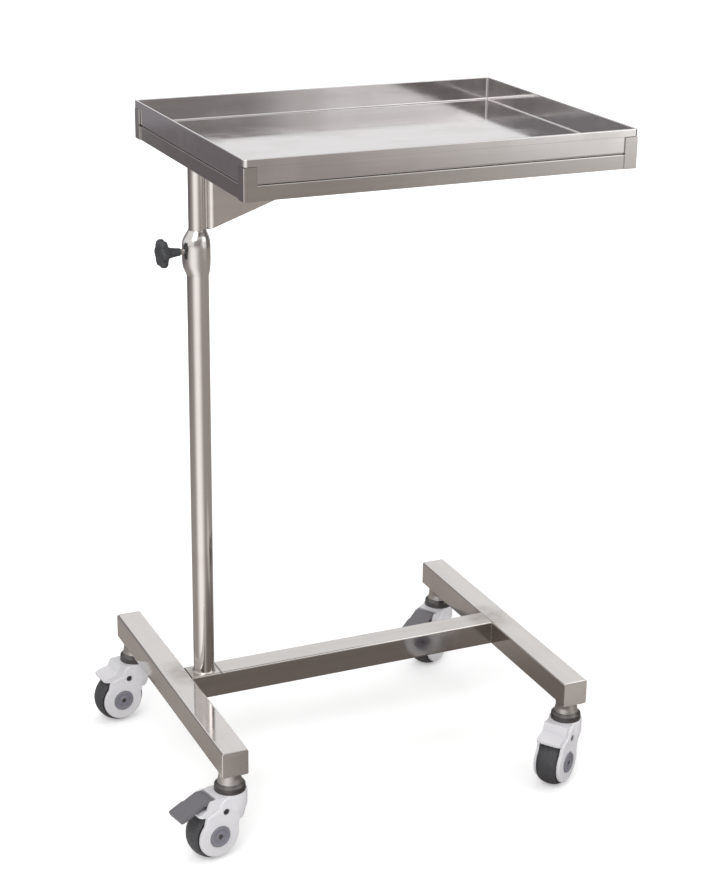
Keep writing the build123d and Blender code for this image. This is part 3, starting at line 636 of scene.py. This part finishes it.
@dataclass
class Post:
    """The telescopic post with its collar and guides."""

    bulge: float = 0.0036
    focus: float = 1.4
    bore: float = 0.0162
    bore_top: float = 0.8640
    foot: float = 0.8064
    foot_ease: float = 0.016
    crown: float = 0.8722
    crown_ease: float = 0.017
    outline: tuple[tuple[float, float], ...] = (
        (0.01605, 0.8064), (0.0165, 0.8061), (0.0170, 0.8085), (0.0177, 0.8125), (0.0184, 0.8180),
        (0.0188, 0.8240), (0.0190, 0.8300), (0.0190, 0.8360), (0.0190, 0.8420), (0.0190, 0.8480),
        (0.0188, 0.8530), (0.0182, 0.8580), (0.0172, 0.8625), (0.0158, 0.8665), (0.0146, 0.8695),
        (0.0138, 0.8715), (0.0134, 0.8727), (0.0128, 0.8727), (0.0128, 0.8590), (0.01605, 0.8586),
    )

    def swell(self, point: Vector, reach: float) -> float:
        """How far the casting swells at a point.

        Args:
            point: The point, on the post's axis and the stand's heights.
            reach: Its distance from the axis.

        Returns:
            The swell in metres.
        """
        toward = max(0.0, -point.x / reach) ** self.focus
        rise = unit((point.z - self.foot) / self.foot_ease) * unit((self.crown - point.z) / self.crown_ease)
        rise = rise * rise * (3.0 - 2.0 * rise)
        return self.bulge * toward * rise

    def collar(self) -> None:
        """Turns the collar as one smooth casting that swells towards the clamp."""
        mesh = spun([*self.outline, self.outline[0]], 120)
        for vert in mesh.verts:
            reach = math.hypot(vert.co.x, vert.co.y)
            if reach > self.bore or vert.co.z > self.bore_top:
                grown = 1.0 + self.swell(vert.co, reach) / reach
                vert.co.x *= grown
                vert.co.y *= grown
        stance = Stance(MAST, Vector((1, 0, 0)), Vector((0, 0, 1)))
        piece = publish(mesh, "collar_casting", stance, "base", "collar", 0.9)
        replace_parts(piece, "post_collar")

    def dress(self) -> None:
        """Gives the post's solids their finishes and turns its collar."""
        wardrobe.face("lower_post", "tube_z")
        wardrobe.face("upper_post", "tube_z")
        wardrobe.face("post_foot_weld", "weld", 0.0002)
        wardrobe.dress("post_collar", "collar")
        self.collar()
        wardrobe.dress("guide_bush", "nylon")
        wardrobe.dress("glide_sleeve", "nylon")


@dataclass
class Clamp:
    """The height clamp's knob and its threaded stud."""

    lobes: int = 6
    lobe_start: float = 0.011
    lobe_reach: float = 0.009
    lobe_depth: float = 0.22
    lobe_roundness: float = 1.6
    neck: float = 0.0105
    thread_root: float = 0.00396
    thread_pitch: float = 0.00125
    thread_depth: float = 0.0006
    thread_sunk: float = 0.0004
    thread_start: float = 0.0086
    thread_turns: int = 3
    thread_steps: int = 28

    def stance(self, node: str) -> Stance:
        """Where the clamp's axis runs.

        Args:
            node: The solid at whose inner end it starts.

        Returns:
            The stance, with its Z out along the axis.
        """
        low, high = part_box(node)
        middle = (low + high) / 2
        return Stance(Vector((high.x, middle.y, middle.z)), Vector((0, -1, 0)), Vector((-1, 0, 0)))

    def knob(self) -> None:
        """Builds the lobed knob, with a long neck and a dished face."""
        profile = [
            (0.0, -self.neck), (0.0052, -self.neck), (0.0058, 0.0006 - self.neck), (0.0062, -0.0040),
            (0.0070, 0.0007), (0.0076, 0.0040), (0.0090, 0.0072),
            (0.0128, 0.0094), (0.0186, 0.0108), (0.0207, 0.0122), (0.0215, 0.0145), (0.0214, 0.0182),
            (0.0200, 0.0208), (0.0172, 0.0222), (0.0120, 0.0226), (0.0105, 0.0222), (0.0098, 0.0212),
            (0.0070, 0.0205), (0.0, 0.0204),
        ]
        mesh = spun(profile, 96)
        for vert in mesh.verts:
            reach = math.hypot(vert.co.x, vert.co.y)
            share = unit((reach - self.lobe_start) / self.lobe_reach)
            turn = math.atan2(vert.co.y, vert.co.x)
            valley = (0.5 - 0.5 * math.cos(self.lobes * turn)) ** self.lobe_roundness
            squeeze = 1.0 - self.lobe_depth * share * valley
            vert.co.x *= squeeze
            vert.co.y *= squeeze
        stance = self.stance("clamp_knob")
        piece = publish(mesh, "knob_body", stance, "clamp_screw", "knob", 0.9)
        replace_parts(piece, "clamp_knob")

    def thread(self) -> None:
        """Winds the thread round the stud between the collar's boss and the knob."""
        mesh = bmesh.new()
        root = self.thread_root
        half = self.thread_pitch * 0.42
        ridge = [
            (root - self.thread_sunk, -half), (root, -half), (root + self.thread_depth, 0.0), (root, half),
            (root - self.thread_sunk, half),
        ]
        points = [mesh.verts.new((radius, 0.0, height)) for radius, height in ridge]
        edges = [mesh.edges.new(pair) for pair in zip(points, [*points[1:], points[0]])]
        bmesh.ops.spin(
            mesh, geom=points + edges, axis=(0, 0, 1), cent=(0, 0, 0), angle=math.tau * self.thread_turns,
            dvec=(0, 0, self.thread_pitch / self.thread_steps), steps=self.thread_steps * self.thread_turns,
            use_merge=False,
        )
        bmesh.ops.holes_fill(mesh, edges=[edge for edge in mesh.edges if edge.is_boundary], sides=0)
        bmesh.ops.translate(mesh, verts=mesh.verts, vec=(0, 0, self.thread_start))
        publish(mesh, "stud_thread", self.stance("clamp_stud"), "clamp_screw", "turned")

    def dress(self) -> None:
        """Gives the clamp's solids their finishes and builds its fine pieces."""
        wardrobe.face("clamp_stud", "turned", 0.0002)
        wardrobe.dress("clamp_pad", "brass")
        wardrobe.dress("clamp_knob", "knob")
        self.knob()
        self.thread()


@dataclass
class TrayFrame:
    """The angle frame, its uprights, the bearer and the gusset under it."""

    top_weld_inset: float = 0.010
    post_weld: Weld = Weld(0.0024, 0.003)
    post_weld_reach: float = 0.0116
    post_weld_aside: float = 0.0082
    post_weld_lift: float = 0.003
    post_weld_length: float = 0.085

    def dress(self) -> None:
        """Gives the frame's solids their finishes and lays the gusset's welds."""
        for node in ("front_rail", "back_rail", "centre_bearer"):
            wardrobe.face(node, "sheet_x")
        for node in ("left_rail", "right_rail"):
            wardrobe.face(node, "sheet_y")
        wardrobe.face("corner_uprights", "sheet_x", 0.0002)
        wardrobe.face("gusset_bracket", "bracket")
        low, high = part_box("gusset_bracket")
        for side, y in (("front", low.y), ("back", high.y)):
            start, end = Vector((low.x + self.top_weld_inset, y, high.z)), Vector((high.x, y, high.z))
            Weld().build(f"gusset_top_weld_{side}", start, end, "mast")
        for side, y in (("front", -self.post_weld_aside), ("back", self.post_weld_aside)):
            foot = MAST + Vector((self.post_weld_reach, y, low.z + self.post_weld_lift))
            top = foot + Vector((0, 0, self.post_weld_length))
            self.post_weld.build(f"gusset_post_weld_{side}", foot, top, "mast")


class Tray:
    """The pressed tray."""

    def dress(self) -> None:
        """Gives the tray its finish."""
        wardrobe.face("tray", "pan", 0.0003)


@dataclass
class Caster:
    """One swivel caster, and its brake pedal if it has one."""

    name: str
    braked: bool = False

    def stance(self) -> Stance:
        """Where the wheel turns.

        Returns:
            The stance at the wheel's middle, with its Z along the axle and its X level.
        """
        joint = next(item for item in frame["joints"] if item["name"] == f"{self.name}_roll")
        axle = Vector(joint["axis"]).normalized()
        return Stance(Vector(joint["pos_m"]), axle.cross(Vector((0, 0, -1))).normalized(), axle)

    def tread(self) -> None:
        """Builds the tyre, with a ring moulded at each shoulder."""
        outline = [
            (0.0301, -0.0140), (0.0330, -0.0151), (0.0344, -0.0158), (0.0352, -0.0158), (0.0360, -0.0151),
            (0.0366, -0.0143), (0.0376, -0.0124), (0.0387, -0.0094), (0.0395, -0.0058), (0.03995, -0.0022),
        ]
        profile = outline + [(radius, -offset) for radius, offset in reversed(outline)]
        profile.append(profile[0])
        mesh = spun(profile, 96)
        wheel = f"{self.name}_wheel"
        piece = publish(mesh, f"{self.name}_tyre", self.stance(), wheel, "tread")
        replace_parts(piece, f"{self.name}_tread")

    def pair(self, profile: list[tuple[float, float]], name: str, finish: str, slot: str) -> bpy.types.Object:
        """Turns a shape on the axle and mirrors it to the other side of the wheel.

        Args:
            profile: Radius and distance from the wheel's middle, from the axle to the axle.
            name: The piece's name, after the caster's.
            finish: Its finish.
            slot: The record's material slot that it stands for; not used.

        Returns:
            The piece.
        """
        mesh = spun(profile, 64)
        bmesh.ops.mirror(mesh, geom=[*mesh.verts, *mesh.edges, *mesh.faces], merge_dist=-1.0, axis="Z")
        return publish(mesh, f"{self.name}_{name}", self.stance(), f"{self.name}_fork", finish)

    def hubs(self) -> None:
        """Builds the hub covers, each with a raised ring round a recessed bolt."""
        cover = [
            (0.0, 0.0196), (0.0163, 0.0196), (0.0165, 0.0200), (0.0165, 0.0234), (0.0159, 0.0242),
            (0.0146, 0.0245), (0.0126, 0.0245), (0.0119, 0.0242), (0.0115, 0.0232), (0.0110, 0.0229),
            (0.0078, 0.0229), (0.0072, 0.0232), (0.0068, 0.0239), (0.0062, 0.0242), (0.0046, 0.0242),
            (0.0041, 0.0239), (0.0039, 0.0226), (0.0, 0.0225),
        ]
        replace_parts(self.pair(cover, "hub_covers", "cap", "cap_plastic"), f"{self.name}_hub_caps")
        bolt = [
            (0.0, 0.0226), (0.0034, 0.0226), (0.0035, 0.0231), (0.0032, 0.0235), (0.0020, 0.0236),
            (0.0017, 0.0232), (0.0, 0.0231),
        ]
        self.pair(bolt, "hub_bolts", "zinc", "turned_steel")

    def dress(self) -> None:
        """Gives the caster's solids their finishes and builds its tyre and hub covers."""
        shown = {"caster_housing": "housing", "cover_screws": "zinc", "axle": "turned"}
        hidden = {"wheel_core": "core", "wheel_bearings": "bearing", "tread": "tread", "hub_caps": "cap"}
        if self.braked:
            shown["brake_pedal"] = "pedal"
            hidden["pedal_pin"] = "turned"
        for part, finish in shown.items():
            wardrobe.face(f"{self.name}_{part}", finish, 0.0003)
        for part, finish in hidden.items():
            wardrobe.dress(f"{self.name}_{part}", finish)
        self.tread()
        self.hubs()


@dataclass(frozen=True)
class Pool:
    """A soft round patch of one tone on the card that lies on the floor: a pool of painted light or painted shade
    that the metal reflects.
    """

    x: float
    y: float
    inner: float
    outer: float
    tone: Colour
    share: float = 1.0


@dataclass(frozen=True)
class Wall:
    """A card that stands on the floor between two points, with a window's tone to its right if it has one."""

    name: str
    start: tuple[float, float]
    end: tuple[float, float]
    height: float
    tone: Colour
    window: Colour | None = None
    window_edge: tuple[float, float] = (2.6, 3.2)


# Pools of painted light and shade on the floor card, seen only in the metal: a bright patch far to the front
# right, a painted shadow of the tray on the floor under the stand, a bright patch in front of the base's right
# end, and a dark patch far behind on the left.
POOLS = (
    Pool(5.2, -5.0, 1.6, 3.7, (1.35, 1.33, 1.31)),
    Pool(0.10, -0.18, 0.22, 0.62, (0.14, 0.115, 0.10), 0.85),
    Pool(0.50, -0.56, 0.10, 0.28, (0.66, 0.63, 0.60)),
    Pool(-3.2, 3.6, 1.4, 4.2, (0.15, 0.13, 0.145), 0.9),
)
WALLS = (
    Wall("back_wall_card", (-4.5, 5.0), (0.8, 5.0), 3.2, (0.31, 0.295, 0.31)),
    Wall("front_wall_card", (-4.0, -6.9), (5.6, -6.9), 3.2, (0.34, 0.315, 0.31), (1.16, 1.15, 1.14)),
    Wall("right_wall_card", (3.2, -1.6), (3.2, 1.8), 2.4, (0.20, 0.18, 0.17)),
)


@dataclass
class Studio:
    """The pale floor, the soft lights, the cards that the metal reflects, and the camera."""

    key: float = 52.0
    fill: float = 24.0
    world: float = 0.60
    floor_size: float = 14.0
    floor_tones: tuple[Colour, Colour] = ((0.83, 0.83, 0.83), (0.86, 0.86, 0.86))
    floor_glow: float = 0.34
    far_glow: float = 0.80
    glow_reach: tuple[float, float] = (0.5, 3.2)
    card_height: float = 0.0006
    card_tone: Colour = (0.38, 0.345, 0.32)
    beam_turn: float = 2.18
    beam_edge: tuple[float, float] = (0.12, 1.0)
    beam_tone: Colour = (1.25, 1.22, 1.20)
    focal_pixels: float = 1930.0
    sensor: float = 36.0
    camera_right: Place = (0.914069, -0.405371, 0.012318)
    camera_up: Place = (0.130046, 0.321738, 0.937855)
    camera_back: Place = (-0.384142, -0.855663, 0.346808)
    camera_place: Place = (-0.894874, -2.546953, 1.549640)

    def floor(self) -> None:
        """Lays the floor: paper white to the camera, but for the stand's shadow."""
        mesh = bmesh.new()
        bmesh.ops.create_grid(mesh, x_segments=1, y_segments=1, size=self.floor_size)
        floor = self.stand_by(mesh, "studio_floor")
        shader = Shader("floor_paint")
        tone = shader.blend(shader.noise(0.7, 2.0), *self.floor_tones)
        rays = shader.node("ShaderNodeLightPath")
        seen = Socket(shader, rays.outputs["Is Camera Ray"])
        near = shader.spot((0.0, 0.0, 0.0), *self.glow_reach)
        bright = shader.blend(near, (self.far_glow,) * 3, (self.floor_glow,) * 3)
        glow = shader.blend(seen, (0.0, 0.0, 0.0), bright)
        floor.data.materials.append(
            shader.finish(base_color=tone, roughness=0.9, emission_color=glow, emission_strength=1.0)
        )

    def stand_by(self, mesh: bmesh.types.BMesh, name: str) -> bpy.types.Object:
        """Makes a studio object, which isn't part of the stand.

        Args:
            mesh: Its shape.
            name: Its name.

        Returns:
            The object.
        """
        data = bpy.data.meshes.new(name)
        mesh.to_mesh(data)
        mesh.free()
        thing = bpy.data.objects.new(name, data)
        bpy.context.scene.collection.objects.link(thing)
        return thing

    def card(self, name: str, corners: list[Vector]) -> Shader:
        """Stands a matte card where only reflections see it.

        Args:
            name: Its name.
            corners: Its four corners, in turn.

        Returns:
            Its shader, still without a colour.
        """
        mesh = bmesh.new()
        mesh.faces.new([mesh.verts.new(corner) for corner in corners])
        thing = self.stand_by(mesh, name)
        thing.visible_camera = False
        thing.visible_diffuse = False
        thing.visible_shadow = False
        thing.visible_transmission = False
        shader = Shader(name)
        thing.data.materials.append(shader.material)
        return shader

    def light_up(self, card: Shader, tone: object) -> None:
        """Gives a card its tone, which is all that reflections see of it.

        Args:
            card: The card's shader.
            tone: A colour or a colour output.
        """
        card.finish(base_color=(0, 0, 0), roughness=1.0, emission_color=tone, emission_strength=1.0)

    def cards(self) -> None:
        """Lays a dark card round the stand, with a bright beam of painted light from the post and pools of painted
        light and shade, among them a painted shadow of the tray, and stands walls beside it.
        """
        z = self.card_height
        places = (-6, -7, z), (6, -7, z), (6, 6, z), (-6, 6, z)
        carpet = self.card("floor_card", [Vector(place) for place in places])
        turn = (carpet.axis(1) - MAST.y).maths("ARCTAN2", carpet.axis(0) - MAST.x)
        beam = 1.0 - (turn + self.beam_turn).maths("ABSOLUTE").between(*self.beam_edge)
        tone = carpet.blend(beam, self.card_tone, self.beam_tone)
        for pool in POOLS:
            patch = carpet.spot((pool.x, pool.y, z), pool.inner, pool.outer) * pool.share
            tone = carpet.blend(patch, tone, pool.tone)
        self.light_up(carpet, tone)
        for wall in WALLS:
            (x, y), (far_x, far_y) = wall.start, wall.end
            places = (x, y, 0), (far_x, far_y, 0), (far_x, far_y, wall.height), (x, y, wall.height)
            shader = self.card(wall.name, [Vector(place) for place in places])
            tone = wall.tone
            if wall.window:
                tone = shader.blend(shader.axis(0).between(*wall.window_edge), wall.tone, wall.window)
            self.light_up(shader, tone)

    def surroundings(self) -> None:
        """Sets the world: white behind the stand and in its metal, softer as a light."""
        world = bpy.data.worlds.new("studio")
        bpy.context.scene.world = world
        graph = Graph(world)
        rays = graph.node("ShaderNodeLightPath").outputs
        mirrored = Socket(graph, rays["Is Glossy Ray"]).maths("MAXIMUM", rays["Is Transmission Ray"])
        seen = Socket(graph, rays["Is Camera Ray"]).maths("MAXIMUM", mirrored)
        strength = seen * (1.0 - self.world) + self.world
        colour = (1.0, 1.0, 1.0)
        background = graph.node("ShaderNodeBackground", {}, {"Color": colour, "Strength": strength})
        graph.node("ShaderNodeOutputWorld", {}, (background.outputs[0],))

    def lamp(
        self, name: str, place: Vector, target: Vector, size: float, power: float, mirrored: bool = True
    ) -> None:
        """Hangs a soft lamp.

        Args:
            name: Its name.
            place: Where it hangs.
            target: What it points at.
            size: Its side, in metres.
            power: Its power, in watts.
            mirrored: Whether reflections see it.
        """
        data = bpy.data.lights.new(name, "AREA")
        data.shape = "SQUARE"
        data.size = size
        data.energy = power
        lamp = bpy.data.objects.new(name, data)
        bpy.context.scene.collection.objects.link(lamp)
        lamp.location = place
        lamp.rotation_mode = "QUATERNION"
        lamp.rotation_quaternion = (target - place).to_track_quat("-Z", "Y")
        lamp.visible_glossy = mirrored

    def camera(self) -> None:
        """Sets the camera as the photograph's was, by its place beside the post."""
        data = bpy.data.cameras.new("camera")
        data.sensor_width = self.sensor
        data.lens = self.focal_pixels * data.sensor_width / max(IMAGE_SIZE)
        data.clip_start, data.clip_end = 0.05, 60.0
        camera = bpy.data.objects.new("camera", data)
        bpy.context.scene.collection.objects.link(camera)
        turn = Matrix((self.camera_right, self.camera_up, self.camera_back)).transposed().to_4x4()
        camera.matrix_world = Matrix.Translation(MAST + Vector(self.camera_place)) @ turn
        bpy.context.scene.camera = camera

    def build(self) -> None:
        """Makes the studio."""
        middle = Vector((0.0, 0.0, 0.5))
        self.floor()
        self.surroundings()
        self.lamp("key", Vector((-1.6, -2.2, 3.0)), middle, 1.8, self.key)
        self.lamp("fill", Vector((2.4, -1.8, 2.2)), middle, 2.2, self.fill)
        self.lamp("top", Vector((0.2, 0.6, 3.4)), middle, 2.4, self.fill, mirrored=False)
        self.cards()
        self.camera()


def main() -> None:
    """Builds the stand's sub-assemblies in order, then the studio round them."""
    bpy.context.scene.view_settings.view_transform = "Standard"
    joints = {joint["name"] for joint in frame["joints"]}
    assemblies: list[Base | Post | Clamp | TrayFrame | Tray | Caster] = [
        Base(), Post(), Clamp(), TrayFrame(), Tray()
    ]
    for name in ("front_left", "front_right", "back_left", "back_right"):
        assemblies.append(Caster(name, f"{name}_brake" in joints))
    for assembly in assemblies:
        assembly.dress()
        log.info("%s is done", type(assembly).__name__)
    Studio().build()


if __name__ == "__main__":
    logging.basicConfig(level=logging.INFO)
    main()
